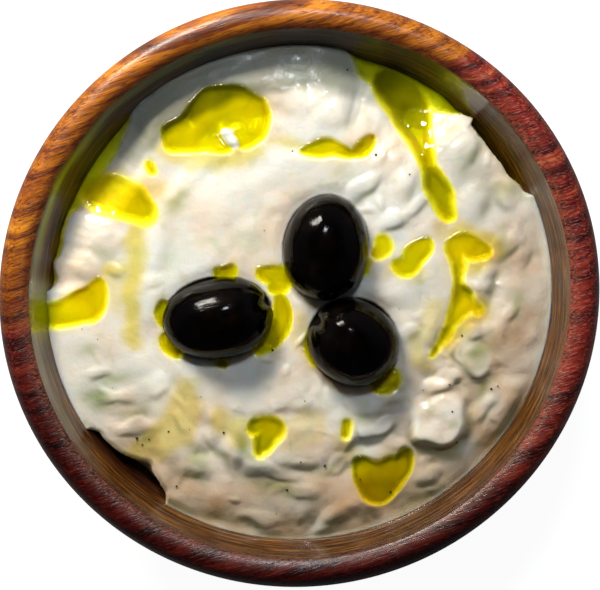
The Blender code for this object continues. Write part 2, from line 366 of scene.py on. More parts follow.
def heartAndSap(add, laid, drifted, fibres, pores):
    # Dark red heartwood, with golden sapwood on the far left of a slanting, ragged line.
    fromPith = add("VectorMath", {0: drifted, 1: (0.02, 1, 1), 2: woodLook["pith"]},
        operation="MULTIPLY_ADD")[0]
    ring = add("VectorMath", {0: fromPith}, operation="LENGTH")["Value"]
    rings = add("TexNoise", {"W": ring, "Scale": 1 / woodLook["ringWidth"], "Detail": 3.0},
        noise_dimensions="1D")["Fac"]
    figure = add("Mix", {0: 0.5, 2: rings, 3: fibres}, data_type="FLOAT")[0]
    heart = add("ValToRGB", {"Fac": figure}, stops=woodLook["heart"])[0]
    sap = add("ValToRGB", {"Fac": figure}, stops=woodLook["sap"])[0]
    split = add("SeparateXYZ", {0: laid})
    slant = add("Math", {0: split[0], 1: -0.24, 2: split[1]}, operation="MULTIPLY_ADD")[0]
    ragged = stretchedPattern(add, laid, (22, 7, 12), 5.0)
    slant = add("Math", {0: ragged, 1: 34.0, 2: slant}, operation="MULTIPLY_ADD")[0]
    sapShare = add("MapRange", {"Value": slant, "From Min": 45.0, "From Max": 51.0})[0]
    wood = add("Mix", {0: sapShare, 6: heart, 7: sap}, data_type="RGBA")[2]
    # Purple-brown patches some 15 mm across, and short pale dashes painted on as highlights where a fibre
    # would catch the light.
    patches = stretchedPattern(add, laid, (14, 14, 14), 3.0, (0.5, 0.68), 0.6)
    paintedGlints = stretchedPattern(add, laid, woodLook["dash"], 1.0, (0.57, 0.68), 0.8, offset=(7, 3, 5))
    lessInSap = add("MapRange", {"Value": sapShare, "To Min": 1.0, "To Max": 0.25})[0]
    paintedGlints = add("Math", {0: paintedGlints, 1: lessInSap}, operation="MULTIPLY")[0]
    return tinted(add, wood, ((patches, "MULTIPLY", "#a86a70"), (pores, "MULTIPLY", "#7a5a50"),
        (paintedGlints, "SCREEN", "#96564a")))


def oiledAcacia(inside):
    # Acacia, turned, sanded and oiled: long fibres with open pores, dark red-brown heartwood beside
    # golden sapwood, and a thin glossy film, with short pale dashes painted on as its highlights. Inside,
    # wet food has left it smooth, duller in colour, and shiny enough to mirror what lies next to it.
    # Reflections of the oil and the dip are painted on the inside wall, and shade is painted on the near
    # side, in the far side's inner rim corner and down in the near-left gap.
    material, add = startMaterial("wet acacia" if inside else "oiled acacia")
    place = add("TexCoord")["Object"]
    turn = (0, 0, -math.radians(bowlShape["grainDegrees"]))
    laid = add("Mapping", {"Vector": place, "Rotation": turn, "Scale": (1000, 1000, 1000)})[0]
    drift = add("TexNoise", {"Vector": laid, "Scale": 1 / 26, "Detail": 2.0})["Color"]
    drifted = add("VectorMath", {0: drift, 1: (8, 4, 4), 2: laid}, operation="MULTIPLY_ADD")[0]
    fibre = woodLook["wallFibre" if inside else "fibre"]
    fibres = stretchedPattern(add, laid if inside else drifted, fibre, 4.0, roughness=0.65)
    pores = stretchedPattern(add, laid, woodLook["pore"], 2.0, (0.56, 0.7))
    if inside:
        wood = add("ValToRGB", {"Fac": fibres}, stops=woodLook["wetWall"])[0]
    else:
        wood = heartAndSap(add, laid, drifted, fibres, pores)
    handled, oilSmear, wallHaze, cornerWear = [
        add("Attribute", attribute_name=name)["Fac"]
        for name in ("handled", "oilSmear", "wallHaze", "cornerWear")
    ]
    flecks = stretchedPattern(add, laid, woodLook["cornerFleck"], 3.0, (0.4, 0.7), 0.5)
    flecked = add("Math", {0: cornerWear, 1: flecks}, operation="MULTIPLY")[0]
    wood = tinted(add, wood, (
        (handled, "MULTIPLY", "#8c6458"),  # painted shade: the near side, the far side's inner rim corner and the near-left gap
        (oilSmear, "MIX", "#b6be0a"),  # painted reflection of the oil pools in the wall on the far left
        # painted reflection of the pale dip in the wall
        (wallHaze, "MIX", "#a5a283"),
        # pale flecks along the rim's inner corner, fewer on the far side
        (flecked, "MIX", "#a0765e"),
    ))
    relief = add("Math", {0: pores, 1: -0.5, 2: fibres}, operation="MULTIPLY_ADD")[0]
    openGrain = 0.1 if inside else 0.45
    bump, filmBump = [
        add("Bump", {"Strength": openGrain, "Distance": depth, "Height": relief})[0]
        for depth in (0.2 * mm, 0.12 * mm)
    ]
    roughness = add("MapRange", {"Value": fibres, "From Min": 0.3, "From Max": 0.7, "To Min": 0.32,
        "To Max": 0.5})[0]
    shader = add("BsdfPrincipled", {
        "Base Color": wood,
        "Roughness": roughness,
        "IOR": 1.5,
        "Specular IOR Level": 0.3,
        "Coat Weight": 0.85 if inside else 0.45,
        "Coat Roughness": 0.04 if inside else 0.24,
        "Coat IOR": 1.6 if inside else 1.5,
        "Normal": bump,
        "Coat Normal": filmBump,
    })
    add("OutputMaterial", {"Surface": shader[0]})
    return material


def makeBowl():
    profile = bpy.data.meshes.new("bowl profile")
    points = bowlProfile()
    ringRadius = bowlShape["ringRadius"]
    outline = [((radius - ringRadius) * mm, -z * mm, 0) for radius, z in points]
    profile.from_pydata(outline, [(i, i + 1) for i in range(len(points) - 1)], [])
    addField(profile, "insideWall", [i < bowlShape["insidePoints"] - 1 for i in range(len(points))])
    mesh = runNodes(profile, turningTree(oiledAcacia(False), oiledAcacia(True)), {
        "Steps": bowlShape["steps"],
        "Ring Radius": ringRadius * mm,
        "Oval": (*bowlShape["oval"], 1.0),
        "Grain Angle": (0.0, 0.0, math.radians(bowlShape["grainDegrees"])),
    })
    bm = bmesh.new()
    bm.from_mesh(mesh)
    bmesh.ops.remove_doubles(bm, verts=bm.verts, dist=sameSpot)
    bmesh.ops.recalc_face_normals(bm, faces=bm.faces)
    bm.to_mesh(mesh)
    bm.free()
    addMesh("turned_bowl", mesh, ["bowl"])
    places = np.array([v.co for v in mesh.vertices]) / mm
    radius, degrees = ovalPolar(places[:, 0], places[:, 1])
    z = places[:, 2]
    mouth = bowlShape["mouthRadius"]
    onWall = radius < mouth + 1
    # A band just below the rim: painted reflections in the glossy wall, of the oil pools and of the pale
    # dip.
    wander = z + 0.7 * softNoise(degrees, 0 * degrees, 9, 71)
    band = np.exp(-(((wander - 47.3) / 1.5) ** 2) ** 2)
    reflectedOil = band * (0.35 * smooth(92, 110, degrees) * smooth(178, 165, degrees))
    reflectedOil = reflectedOil + 0.6 * band * hump(degrees - 157, 12)
    reflectedOil = reflectedOil + 0.8 * hump(degrees - 183, 5) * smooth(40, 42, z) * smooth(49, 47, z)
    reflectedDip = band * (hump(degrees - 134, 14) + smooth(166, 176, degrees) * smooth(225, 195, degrees))
    # Painted shade on the near side, which faces away from the lamps, in the far side's inner rim corner,
    # and in the near-left gap.
    around = np.abs((degrees - 255 + 180) % 360 - 180)
    handled = smooth(95, 45, around) * smooth(-1.2, 0.2, radius - mouth)
    farSide = smooth(40, 60, degrees) * smooth(190, 172, degrees)
    corner = hump(radius - mouth - 0.6, 1.3) * (z > 46)
    gap = onWall * smooth(43.5, 40.5, z) * np.exp(-(((degrees - 224) / 15) ** 4))
    addField(mesh, "handled", np.maximum(handled, np.maximum(0.8 * corner * farSide, gap)))
    addField(mesh, "wallHaze", 0.34 * reflectedDip * onWall)
    addField(mesh, "oilSmear", np.clip(reflectedOil, 0, 1) * onWall)
    addField(mesh, "cornerWear", corner * (1 - 0.8 * farSide))


# The dip. Its top is one height for each place, and pools, olives and lumps shape it.
dipShape = {
    "edgeLevel": 41.0,
    "crown": 3.2,  # the middle above the edge
    "lumpSpread": 54,  # radius within which small shreds lie
    "shoulder": 1.3,  # how much it bulges before it turns down to the wall
    "shoulderPower": 13,
    "cling": 0.5,  # how far it creeps up the wall
    "poolBrink": 40.25,  # just above the pools
    "grid": 300,  # cells across the top
    "underRings": 7,
    # The back of the spoon went round once: (degrees, radius) and (degrees, depth).
    "spoonPath": (
        (75, 54), (62, 47), (48, 40.5), (30, 38), (0, 37), (335, 35.6), (310, 37), (285, 41),
        (266, 43.6), (250, 44.6), (236, 38.5), (224, 35.5), (205, 37.0), (180, 38.5), (155, 40),
        (125, 42), (98, 45),
    ),
    "spoonDepth": (
        (0, 0.45), (60, 0.8), (90, 0.3), (130, 0.5), (180, 0.6), (230, 0.7), (280, 0.55), (320, 0.4),
    ),
    "spoonInner": 2.8,  # its inner side is the steeper one
    "spoonOuter": 4.6,
}
# Where the dip ends short of the wall: (degrees, radius of its upper edge).
openEdge = (
    (22, 58.9), (24.9, 57.9), (26.7, 57.5), (30.5, 56.3), (33.3, 55.9), (38.1, 55.5), (42.3, 55.4),
    (45.1, 56), (45.9, 57.8), (47.5, 57.1), (50, 54.9), (54.5, 52.3), (58, 50.5), (63, 48.5), (67, 50.2),
    (71, 51.2), (73.5, 52), (77, 55.6), (81, 58.9), (128, 58.9), (130, 58.6), (131.7, 57.8),
    (134.3, 56.3), (138, 54.7), (141.8, 53.4), (145.7, 53.6), (152, 53.8), (158, 54.3), (160, 55.7),
    (162.5, 56.3), (165.6, 56.3), (168, 55.8), (170.5, 56.2), (172.3, 57.2), (174.2, 56.7), (176, 56.1),
    (177.7, 56.9), (179.6, 58.9), (212, 58.9), (215.5, 57.3), (218.5, 57.1), (220.6, 56.8), (222.9, 55.7),
    (226.3, 54.2), (229.3, 53.1), (231.3, 54.2), (234.1, 55.2), (236.3, 56.6), (238.6, 58.9),
)
gapDrop = (
    (30, 7), (46, 6), (56, 3.2), (72, 3.2), (130, 3.2), (176, 3.6), (212, 6.4), (240, 6.4),
)
# Round the bowl, how fully the dip runs down to a pool, and how far it drops at once at its edge.
poolReach = (
    (20, 8), (50, 14), (75, 14), (100, 8), (128, 6), (150, 9), (176, 6),
)
poolSlope = (
    (10, 0), (44, 0.2), (52, 1), (74, 1), (86, 0), (120, 0), (130, 0.8), (176, 0.8), (184, 0),
)
quickDrop = (
    (20, 3), (44, 3), (54, 0.4), (72, 0.4), (82, 1), (128, 1), (176, 1), (210, 3.2), (240, 3.2),
)
# The bigger pieces of cucumber: x, y, half length, half width, height, turn in degrees, and how
# strongly green shade is painted on their front edge.
bigPieces = (
    (28.4, -25.8, 3.2, 2.2, 0.5, 60, 0.2), (36, -27.6, 3, 2.4, 0.5, -30, 0.2),
    (33.2, -20.6, 3.6, 1.9, 1, 15, 0.8), (41.5, -16, 4.6, 3.6, 1.2, -35, 1),
    (36.6, -13, 2, 1.5, 0.6, 60, 0.5), (22.5, -35.5, 2.6, 1.8, 0.6, 20, 0.5),
    (30, -43, 3.8, 2.6, 0.9, 10, 0.8), (16.5, -33, 3.4, 2.3, 1.2, 5, 0.6),
    (-6, -41.4, 6.5, 1.8, 0.7, -6, 0.9), (9.5, -39.6, 3.6, 1.8, 0.5, 14, 0.5),
    (-17, -36.5, 5, 2.4, 0.9, -48, 0.8), (-25, -40, 4.4, 2.8, 0.8, -30, 0.6),
    (-39, -30.5, 4.4, 1.6, 0.7, 12, 0.8), (-44.5, -24.5, 3.4, 1.4, 0.6, 8, 0.9),
    (-33.5, -21, 3.4, 2.2, 0.7, 25, 0.4), (-45, 12, 4.4, 3.2, 0.6, 40, 0.2),
    (-50.5, 7, 3.2, 2.6, 0.7, -40, 0.3), (-43, 6, 2.6, 1.8, 0.6, -20, 0.5),
    (44, 4.5, 3.4, 2, 0.8, 62, 0.7), (47.6, 11.5, 3.8, 2.4, 0.8, 35, 0.8),
    (40.5, 22, 4.6, 3.4, 0.8, 60, 0.6), (38, 34, 3.4, 2.6, 0.7, 70, 0.7),
    (48.6, -4, 2.6, 1.5, 0.6, 60, 0.7), (14.5, 25.5, 4.6, 1.8, 0.8, 35, 0.8),
    (22, 17.5, 4, 2, 0.8, 20, 0.6), (24.5, 26.5, 3.8, 2.4, 0.6, 60, 0.3), (8, 42, 4.4, 3, 0.7, 30, 0.3),
    (-3, 47, 4.6, 3.4, 0.7, -20, 0.2), (-34, 3.6, 3, 1.6, 0.4, 10, 0.3),
    (21, -24.6, 2.8, 1.7, 0.6, 20, 0.5), (51.5, 9, 2.6, 1.8, 0.6, 70, 0.5),
    (48, 24, 4, 2.6, 0.6, -40, 0.6), (41, -8.6, 3.2, 1.9, 0.7, 30, 0.7), (30, -9, 3, 1.8, 0.5, 70, 0.3),
    (24.8, -9, 2.6, 1.8, 0.5, 20, 0.4), (42, -27, 3.6, 2, 0.7, 50, 0.8),
    (33.5, -46, 3.4, 1.7, 0.7, 25, 0.8), (-47.5, -18, 3, 1.8, 0.6, 20, 0.7),
    (-41, -24, 3.6, 1.8, 0.6, 10, 0.8), (-9, -53, 5, 1.6, 0.7, -6, 0.9), (9, -52, 4.2, 2.4, 0.8, 12, 0.8),
    (1, -46, 3.6, 2, 0.7, -8, 0.8), (-27, -30.5, 3.4, 1.5, 0.4, -60, 0.5),
    (20, 33.5, 3.4, 1.8, 0.6, 40, 0.4), (27, 21, 3.6, 1.7, 0.6, 45, 0.5),
)
# Diced pieces that lie flat: x, y, half length, half width, height and turn.
blocks = (
    (32.4, -29.8, 6.6, 5.6, 1.7, 12), (17.5, -31.6, 4.2, 2.6, 0.6, 4), (40.6, -15, 4.4, 3.6, 0.5, -30),
)
# Where pale green shreds show through: x, y, half length, half width, turn and how much.
paleShreds = (
    (-29, 21.4, 4, 2.2, 40, 0.8), (-46.5, 9.4, 3.6, 1.8, -20, 0.4), (33.8, 39.4, 2.6, 2.8, 60, 0.5),
    (39.6, 31.6, 2.6, 1.8, 20, 0.5), (48.8, 25.2, 4.6, 2.2, -25, 0.6), (47, 12, 2.2, 3.2, 20, 0.7),
    (41.5, -13.6, 3.4, 3, -20, 0.9), (-43, -20.5, 3.6, 1.6, 14, 0.7), (-50, -13, 2.2, 1.6, 0, 0.5),
    (-24, -38, 1.6, 3.8, 30, 0.8), (-6, -45.5, 5.4, 1.3, -10, 0.8), (-35.6, -33.5, 3.6, 1.4, 25, 0.8),
    (24, -21.6, 2.2, 1.4, 60, 0.5), (15, -28, 1.6, 2.2, 0, 0.6), (36, -37, 4, 1.4, 25, 0.8),
    (-12, 13, 4.2, 2.6, 30, 0.35), (10, 29, 3.8, 1.8, 20, 0.35), (-20, 12, 3, 1.6, -30, 0.4),
    (6, -41, 3.4, 1.4, 10, 0.7), (-1, -30, 3.2, 1.2, 20, 0.5), (28, -48, 3.6, 1.2, 30, 0.6),
    (44, -21.5, 2.6, 1.4, 50, 0.8), (-13.5, -35.5, 1.4, 3.6, 35, 0.8), (51, -2, 1.6, 3.4, 5, 0.6),
    (-47.2, -24.6, 3.4, 2, -10, 1), (-38, -27, 3.4, 1.2, 20, 0.7), (-30, 8, 4.6, 2, 60, 0.3),
)
dipLumps = {
    "seed": 11,
    "count": 70,  # smaller shreds under the surface
    "halfLength": (1.2, 3.0),
    "halfWidth": (0.7, 1.4),
    "height": (0.15, 0.55),
}


def oilRun(depth, bank, above, stain=1.0, fade=0.0, drops=()):
    # Oil on the dip: how deep it sank in, how wide its bank is, how far it stands above the dip, how
    # much it stains, how much thinner its near side is, and the drops (x, y, radius) that ran together.
    return {"depth": depth, "bank": bank, "above": above, "stain": stain, "fade": fade, "drops": drops}


oilRuns = {
    "shelf": oilRun(0.75, 2.2, -0.05, stain=0.7, drops=(
        (-47.5, 24, 4.6), (-42, 22.6, 4.9), (-38, 20.6, 3.8), (-35.6, 18.8, 2.6)
    )),
    "channel": oilRun(2, 2.4, 0, stain=0.9, drops=(
        (21, 49.5, 4.2), (25.2, 44.6, 5.2), (27.2, 38, 3.6), (29.2, 33, 2.3), (29.7, 29.8, 1.8),
        (31, 26.8, 2.2), (33, 22.8, 3.2), (34.4, 18.8, 1.8)
    )),
    "backLeft": oilRun(0.95, 1.6, 0, fade=0.12, drops=(
        (-29, 36.6, 3.9), (-25, 38.2, 4.4), (-20, 43, 5.6), (-14.2, 43.8, 4.9), (-10.6, 41.2, 4),
        (-12.2, 36.8, 3), (-18.2, 35.4, 2.4), (-25.6, 35.6, 2.8), (-29, 37, 3)
    )),
    "leaf": oilRun(0.8, 1.1, 0.08, drops=(
        (0.6, 33.4, 1.2), (4.8, 34, 2.4), (9, 33.8, 1.7), (12.3, 32.9, 0.9), (14.6, 34, 2),
        (16.6, 36.2, 1.4)
    )),
    "small": oilRun(0.35, 1.2, 0.02, drops=((-35, 30.2, 1.5), (-34.4, 29, 1.5))),
    "right": oilRun(0.45, 1.8, 0.02, drops=(
        (43.2, 10, 2.2), (39.6, 11, 3), (36.4, 11.6, 2.6), (36.8, 6.5, 2.1), (37, 2, 1.8), (38, -2, 3.2),
        (35.6, -6.5, 2.2), (33.6, -10, 1.7), (31, -14.2, 1.2)
    )),
    "rightSide": oilRun(0.15, 2, 0.02, drops=((39.6, -2.6, 2.2), (41.6, -3.6, 2.2))),
    "besideOlive": oilRun(0.55, 1.5, 0.02, drops=(
        (29.4, 12.2, 1.9), (27.4, 9.6, 2.9), (25.2, 6.6, 2.8), (22.4, 7, 1.8)
    )),
    "left": oilRun(0.6, 1.8, 0.05, drops=(
        (-58.6, -4.9, 3.5), (-54.5, -4.3, 3.6), (-50.8, -3, 4.2), (-48.2, -0.8, 3.5), (-46.8, 2.4, 1.8)
    )),
    "front": oilRun(0.6, 2, 0.02, drops=(
        (-10, -31, 3), (-5.9, -31.3, 2.8), (-8, -33.4, 3), (-9.4, -36.8, 1.7)
    )),
    "frontSmall": oilRun(0.35, 1.4, 0.02, drops=((11, -30.4, 1.6), (10.6, -32.8, 1.5))),
    "frontRight": oilRun(0.8, 1.4, 0.02, drops=(
        (25, -37.4, 1.9), (24, -40.2, 2.9), (21, -43.2, 3.6), (18.4, -47, 3.4), (16, -43.2, 3.2),
        (14.4, -39.8, 2), (18.4, -42.2, 3.2), (21.6, -39.6, 2.2)
    )),
    "byOlive2Left": oilRun(0.45, 1.2, 0.5, drops=(
        (-31.9, -2.2, 1.4), (-32.2, -4.6, 1.7), (-31.2, -7, 1.4)
    )),
    "byOlive2Front": oilRun(0.45, 1.2, 0.5, drops=(
        (-31.4, -10, 1.6), (-30.6, -12, 1.8), (-28.6, -13.6, 1.4)
    )),
    "underOlive2": oilRun(0.4, 1.2, 0.4, drops=((-18.6, -15.6, 1.4), (-17.8, -16, 1.4))),
    "aboveOlive2": oilRun(0.45, 1.4, 0.4, drops=((-18.6, 5.2, 2), (-16.4, 5.6, 2.2))),
    "betweenOlives": oilRun(0.55, 1.4, 0.4, drops=(
        (-8.8, 4.9, 1.8), (-6.4, 4.6, 2.7), (-4.2, 3.2, 2.4), (-6, 1.8, 2)
    )),
    "endOfOlive2": oilRun(0.6, 1.4, 0.4, drops=(
        (-4.8, -1, 1.5), (-4, -3.8, 2), (-4.3, -7.4, 2.3), (-6.6, -10.8, 2), (-9.6, -13.2, 1.3)
    )),
    "leftOfOlive3": oilRun(0.45, 1.2, 0.45, drops=((2.9, -8.4, 1.2), (2.3, -12, 1.6), (3.4, -15.6, 1.3))),
    "frontOfOlive3": oilRun(0.6, 1.3, 0.5, drops=((18.6, -21, 2.2), (20.6, -20.2, 2.5), (21.6, -18.6, 2))),
    "besideOlive1": oilRun(0.45, 1.2, 0.4, drops=((15.2, 7.6, 1.5), (15, 5.8, 1.3))),
    "besideOlive1Right": oilRun(0.3, 1.6, 0.05, drops=((19, 12.8, 1.9), (19.6, 11, 2.2), (17.8, 9.4, 1.5))),
}
# Thin films of oil that only tint the dip: (x, y, radius) and their strength.
oilFilms = (
    (((31.4, -3, 2.6), (29.4, -9, 3)), 0.4), (((3, -29, 3.4), (-2, -35, 3)), 0.3),
    (((-38.4, 15, 1.8), (-38.3, 6.4, 2.4), (-39.6, -1.3, 2.2), (-38.8, -10.7, 1.8)), 0.75),
    (((-44.5, 5.5, 1.8), (-38.4, 6.4, 2)), 0.7), (((-43, 3, 3.6), (-42, -3, 2.2)), 0.4),
    (((-26.5, -22, 3), (-28, -29, 4.6), (-34, -35.5, 3.6), (-39.5, -38, 2)), 0.6),
    (((-18.5, -29, 2.8), (-13.5, -32.5, 3.2)), 0.6), (((-2, -34, 2.2), (4, -33, 1.6)), 0.35),
    (((10.5, -34.5, 2.6), (12.5, -38, 1.8)), 0.5),
    (((-31, 33.5, 2.4), (-24, 32.6, 2.8), (-17, 32.6, 2.8), (-10, 34, 2.4)), 0.7),
    (((-8.7, 35.5, 0.9), (-4.5, 36, 0.8), (-0.3, 34.6, 0.9)), 0.6),
    (((37, 14.5, 2.8), (43.6, 10.4, 3.4), (39, 6, 2)), 0.75),
    (((41.4, -2.6, 3.6), (38.4, -6, 2.8), (34.6, -12, 2)), 0.75),
    (((-1.6, -6, 2.6), (0.4, -10, 2.4)), 0.4), (((22, 6.4, 2), (27, 5, 2.6)), 0.5),
    (((27, -10.5, 1.2), (28, -15.5, 1.6), (30, -17, 1.4)), 0.5), (((33.2, 14, 2.2), (34, 17, 2)), 0.45),
    (((-46, 27, 3.2), (-33.5, 24.5, 1.8)), 0.5),
)
# The olives sit as packed: centre, direction of the stem end, half length, half width, egg taper,
# and where the stem's dent shows.
olives = {
    "olive_1": ((6.0, 11.1, 46.2), (-0.139, -0.990, -0.03), 12.4, 10.1, 0.05, (0.42, -0.86, 0.12)),
    "olive_2": ((-19.2, -5.4, 45.4), (0.990, 0.139, 0.02), 13.0, 9.75, 0.04, (0.92, 0.38, 0.2)),
    "olive_3": ((12.4, -11.0, 45.8), (-0.830, 0.555, 0.04), 10.9, 10.3, 0.03, (-0.86, 0.50, 0.18)),
}
# Patches of painted grey shade on the dip: x, y, half sizes and share.
paintedShadePatches = (
    (42, 31, 9, 10, 0.35), (-3, -50, 15, 6, 0.42), (-43, -23, 10, 10, 0.22), (-49, 9, 6, 8, 0.16),
)


def makeLumps():
    # Seeded shreds of cucumber under the surface, laid mostly along the swirl, more on the right.
    dice = np.random.RandomState(dipLumps["seed"])
    spread = dipShape["lumpSpread"]
    lumps = list(bigPieces)
    while len(lumps) < len(bigPieces) + dipLumps["count"]:
        x, y = dice.uniform(-spread, spread, 2)
        if math.hypot(x, y) > spread or dice.uniform() > 0.5 + 0.45 * (0.8 * x - 0.6 * y) / spread:
            continue
        turn = math.degrees(math.atan2(y, x)) + 90 + dice.normal(0, 40)
        sizes = [dice.uniform(*dipLumps[key]) for key in ("halfLength", "halfWidth", "height")]
        lumps.append((x, y, *sizes, turn, dice.uniform(0, 0.25)))
    return lumps


lumps = makeLumps()


def dipEdge(degrees):
    # Where the dip ends on the wall: the upper edge of its bank, and the foot's radius and height.
    upper = roundTheBowl(openEdge, degrees)
    ragged = softNoise(degrees, 0 * degrees, 2.5, 41) + 0.6 * softNoise(degrees, 0 * degrees, 1.1, 42)
    upper = upper + 0.22 * ragged * smooth(0, 1.5, wallEdge - upper)
    drop = roundTheBowl(gapDrop, degrees) * openShare(upper, 2.0)
    footHeight = dipShape["edgeLevel"] + dipShape["cling"] - drop
    foot = wallRadius(footHeight) + 0.12  # just into the wall, so that no gap shows
    return np.minimum(upper, foot - 0.25), foot, footHeight


def openShare(upper, over):
    # How fully the dip stands clear of the wall.
    return 1 - np.exp(-np.maximum(wallEdge - 0.15 - upper, 0) / over)


def oliveShare(x, y, olive):
    # Below 1 inside the olive's outline from above.
    centre, stem, halfLength, halfWidth = olive[:4]
    flat = math.hypot(stem[0], stem[1])
    ux, uy = stem[0] / flat, stem[1] / flat
    along = (x - centre[0]) * ux + (y - centre[1]) * uy
    across = (y - centre[1]) * ux - (x - centre[0]) * uy
    return np.hypot(along / halfLength, across / halfWidth)


def dipSurface(x, y):
    # The dip's height at each place, and how much green and painted shade it shows.
    size = dipShape
    radius, degrees = ovalPolar(x, y)
    upper, foot, footHeight = dipEdge(degrees)
    share = np.clip(radius / wallEdge, 0, 1)
    z = size["edgeLevel"] + size["crown"] * (1 - share**3)
    z = z + size["shoulder"] * (1 - share ** size["shoulderPower"])
    inwards = wallEdge - 0.2 - radius
    near = smooth(0, 2.6, inwards)
    # The dip runs down to the pools at the wall, to just above their level.
    toPool = roundTheBowl(poolSlope, degrees) * smooth(roundTheBowl(poolReach, degrees), 0, upper - radius)
    z = z - np.maximum(z - size["poolBrink"], 0) * toPool
    spoon = radius - roundTheBowl(sorted(size["spoonPath"]), degrees)
    spoon = spoon + 0.9 * softNoise(x, y, 9, 3)
    depth = roundTheBowl(size["spoonDepth"], degrees)
    trough = depth * np.exp(-((spoon / np.where(spoon < 0, size["spoonInner"], size["spoonOuter"])) ** 2))
    lip = 0.3 * depth * hump(spoon + 4.6, 2.2)
    z = z + (lip - trough) * near
    level = z.copy()
    # Lumpy folds: rounded tops with creases between, most of them to the right and near sides.
    warpX = x + 2.4 * softNoise(x, y, 8, 31)
    warpY = y + 2.4 * softNoise(x, y, 8, 32)
    lumpy = lumpiness(x, y)
    folds = np.zeros_like(z)
    for step, deep, seed in ((8.0, 0.8, 33), (4.4, 0.26, 34)):
        crease = np.sqrt(softNoise(warpX, warpY, step, seed) ** 2 + 0.02)
        folds = folds + deep * lumpy * (crease - 0.36)
    swirl = np.radians(degrees) / (2 * math.pi)
    rough = folds + 0.38 * softNoise(x, y, 9.5, 5) + 0.17 * softNoise(x, y, 5.0, 6)
    rough = rough + 0.16 * softNoise(radius / 3.2, swirl * 20, 1, 8, wrap=20) * smooth(8, 20, radius)
    rough = rough + 0.05 * softNoise(x, y, 1.9, 9) + 0.015 * softNoise(x, y, 0.9, 10)
    bumps, green = np.zeros_like(z), np.zeros_like(z)
    unevenX = x + 1.1 * softNoise(x, y, 4.2, 35)
    unevenY = y + 1.1 * softNoise(x, y, 4.2, 37)
    for lumpX, lumpY, halfLength, halfWidth, height, turn, colour in lumps:
        along, across = inFrame(unevenX, unevenY, lumpX, lumpY, turn, halfLength, halfWidth)
        reach = along * along + across * across
        bumps = softMax(bumps, 0.95 * height * np.exp(-0.7 * reach**1.5), 0.2)
        front = -across if abs(turn % 360 - 180) > 90 else across  # painted green shade low on the near side, away from the lamps
        green = np.maximum(green, colour * np.exp(-((along / 0.9) ** 2) - (((front - 0.95) / 0.4) ** 2)))
    z = z + (rough + bumps) * near
    for run in oilRuns.values():
        _, sunk, share = insideAndSunk(x, y, run)
        z = z - sunk - np.clip(z - level, -1.2, 2.0) * 0.9 * share
    z = z + 1.7 * bareLump(x, y)
    for height, reach, across in blockReach(unevenX, unevenY):
        share = smooth(1.2, 0.8, reach)
        flat = height * (1 - 0.5 * across) - 0.75 * (z - level) + 0.14 * softNoise(x, y, 2.1, 81)
        z = z + share * flat
        # painted olive shade along each block's near edge
        green = np.maximum(green, 0.8 * hump(reach - 1.08, 0.16) * smooth(0.4, -0.4, across))
    for olive in olives.values():
        centre, _, _, halfWidth = olive[:4]
        share = oliveShare(x, y, olive)
        out = (share - 1) * halfWidth
        z = z - 0.55 * hump(out, 1.6)
        under = centre[2] - halfWidth * np.sqrt(np.clip(1 - share * share, 0, 1)) + 0.15
        z = np.where(share < 1, np.minimum(z, under), z)
    z = z + size["cling"] * np.exp(-inwards / 0.8) * (upper > wallEdge - 0.6)
    down = np.clip((radius - upper) / (foot - upper), 0, 1)
    quick = roundTheBowl(quickDrop, degrees) * openShare(upper, 1.2)
    lipDrop = quick * (1 - np.exp(-np.maximum(radius - upper, 0) / 0.6))
    z = z - smooth(-1.4, 0.2, radius - upper) * 0.18 * quick
    z = z - lipDrop * (1 - down) + (footHeight - z) * down**1.25
    return z, green * near


def blockReach(x, y):
    # For each block its height, how near its outline each place is, and how far towards its far side.
    for blockX, blockY, halfLength, halfWidth, height, turn in blocks:
        along, across = inFrame(x, y, blockX, blockY, turn, halfLength, halfWidth)
        yield height, (np.abs(along) ** 3 + np.abs(across) ** 3) ** (1 / 3), np.clip(across, -1.2, 1.2)


def bareLump(x, y):
    # A lump in the far left puddle that stands clear of the oil.
    along, across = inFrame(x, y, -16.3, 36.5, -50, 3.3, 1.6)
    return np.exp(-1.2 * (along**2 + across**2) ** 2)


def lumpiness(x, y):
    return 0.12 + 0.88 * smooth(-22, 40, 0.45 * x - 0.9 * y)


def insideAndSunk(x, y, run):
    # How far inside a run each place is, how deep the dip has sunk there, and how fully.
    inside = insideRun(x, y, run["drops"]) + runWaver(x, y, run)
    share = smooth(-0.2, run["bank"], inside)
    return inside, run["depth"] * (1 + 0.32 * softNoise(x, y, 4.2, 15)) * share, share


def runWaver(x, y, run):
    # How unevenly a run's edge wanders, in mm. A small drop stays round.
    largest = max(drop[2] for drop in run["drops"])
    wander = 0.5 * softNoise(x, y, 3.6, 12) + 0.06 * softNoise(x, y, 1.3, 13)
    return wander * float(smooth(1.0, 3.0, largest))


def filmField(x, y):
    film = np.zeros_like(x)
    for drops, strength in oilFilms:
        inside = insideRun(x, y, drops) + 0.9 * softNoise(x, y, 3.2, 21)
        film = np.maximum(film, strength * smooth(-1.8, 1.8, inside))
    for run in oilRuns.values():
        inside = insideRun(x, y, run["drops"]) + runWaver(x, y, run)
        film = np.maximum(film, 0.3 * smooth(-1.6, 0.4, inside + 0.6 * softNoise(x, y, 2.2, 22)))
        film = np.maximum(film, run["stain"] * smooth(-0.1, 1.5, inside))
    return film * (1 - smooth(0.35, 0.65, bareLump(x, y)))


def shredField(x, y):
    pale = np.zeros_like(x)
    wavyX, wavyY = x + 1.2 * softNoise(x, y, 3, 55), y + 1.2 * softNoise(x, y, 3, 56)
    for shredX, shredY, halfLength, halfWidth, turn, share in paleShreds:
        along, across = inFrame(wavyX, wavyY, shredX, shredY, turn, halfLength, halfWidth)
        pale = np.maximum(pale, share * np.exp(-(along**2) - across**2))
    return pale


